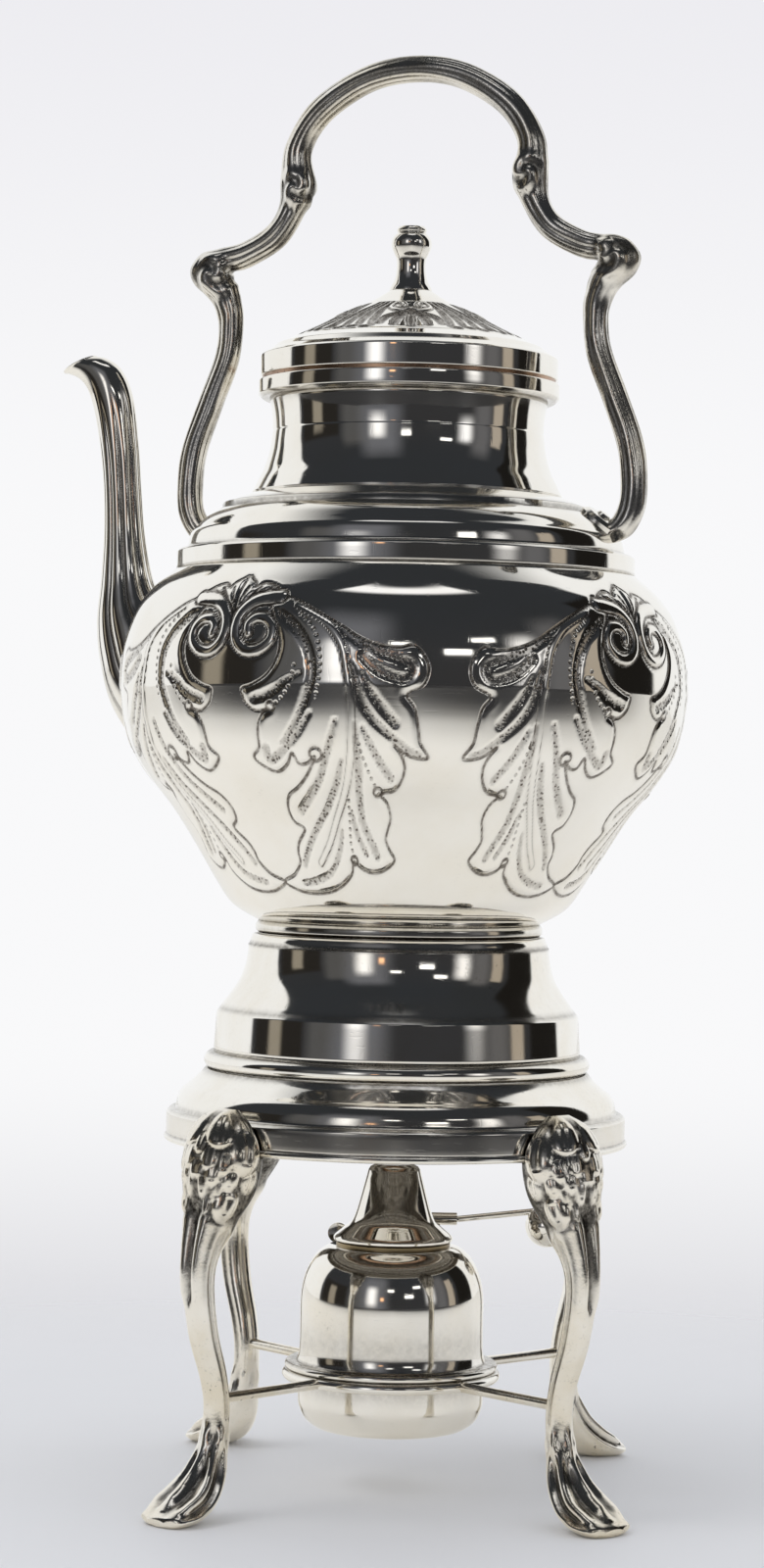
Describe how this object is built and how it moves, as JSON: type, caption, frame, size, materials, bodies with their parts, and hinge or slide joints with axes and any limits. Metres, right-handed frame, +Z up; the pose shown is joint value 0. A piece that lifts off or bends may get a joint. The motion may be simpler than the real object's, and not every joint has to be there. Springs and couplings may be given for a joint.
{
  "type": "spirit kettle on stand",
  "caption": "Round-bodied kettle with a fixed arched handle and fluted spout, resting in the collar of a four-legged stand over a spirit lamp with a hinged snuffer.",
  "frame": {"origin": "on the stand's vertical axis, at the surface the feet stand on", "axes": "+Z up; -Y towards the picture's viewer; +X to the viewer's right; the spout points to -X, turned 20 degrees towards +Y"},
  "size_m": [0.1783, 0.158, 0.3998],
  "materials": {
    "silver_plate": "polished silver plate with light tarnish",
    "cast_silver_plate": "cast silver plate, dark in its hollows and worn on its high points",
    "bare_copper": "worn plate over copper, heat-stained",
    "brass": "dull yellow brass",
    "wick_cotton": "plaited cotton"
  },
  "bodies": {
    "stand": {"stand_flange": "silver_plate", "collar_wire": "silver_plate", "stand_collar": "silver_plate", "collar_seat": "bare_copper", "leg_front_left": "cast_silver_plate", "leg_front_right": "cast_silver_plate", "leg_rear_right": "cast_silver_plate", "leg_rear_left": "cast_silver_plate", "lamp_ring": "silver_plate", "ring_rods": "cast_silver_plate"},
    "kettle": {"kettle_foot": "silver_plate", "kettle_bowl": "silver_plate", "kettle_shoulder": "silver_plate", "kettle_neck": "silver_plate", "mouth_rim": "silver_plate", "spout": "silver_plate", "handle": "cast_silver_plate", "handle_rosette_left": "cast_silver_plate", "handle_rosette_right": "cast_silver_plate"},
    "lid": {"lid_cover": "silver_plate", "lid_bezel": "silver_plate", "finial": "cast_silver_plate", "finial_nut": "brass"},
    "lamp": {"lamp_cup": "silver_plate", "lamp_dome": "silver_plate", "burner_plate": "brass", "wick_tube": "brass", "wick": "wick_cotton", "hinge_bracket": "silver_plate"},
    "snuffer": {"snuffer_cap": "silver_plate", "snuffer_lug": "silver_plate", "hinge_rod": "cast_silver_plate", "turn_knob": "cast_silver_plate"}
  },
  "joints": [
    {"name": "kettle_lift", "type": "slide", "parent": "stand", "child": "kettle", "axis": [0, 0, 1], "range_m": [0, 0.04]},
    {"name": "lid_lift", "type": "slide", "parent": "kettle", "child": "lid", "axis": [0, 0, 1], "range_m": [0, 0.022]},
    {"name": "lamp_lift", "type": "slide", "parent": "stand", "child": "lamp", "axis": [0, 0, 1], "range_m": [0, 0.019]},
    {"name": "snuffer_hinge", "type": "hinge", "parent": "lamp", "child": "snuffer", "pos_m": [0, 0.0182, 0.0727], "axis": [-1, 0, 0], "range_deg": [0, 100]}
  ]
}
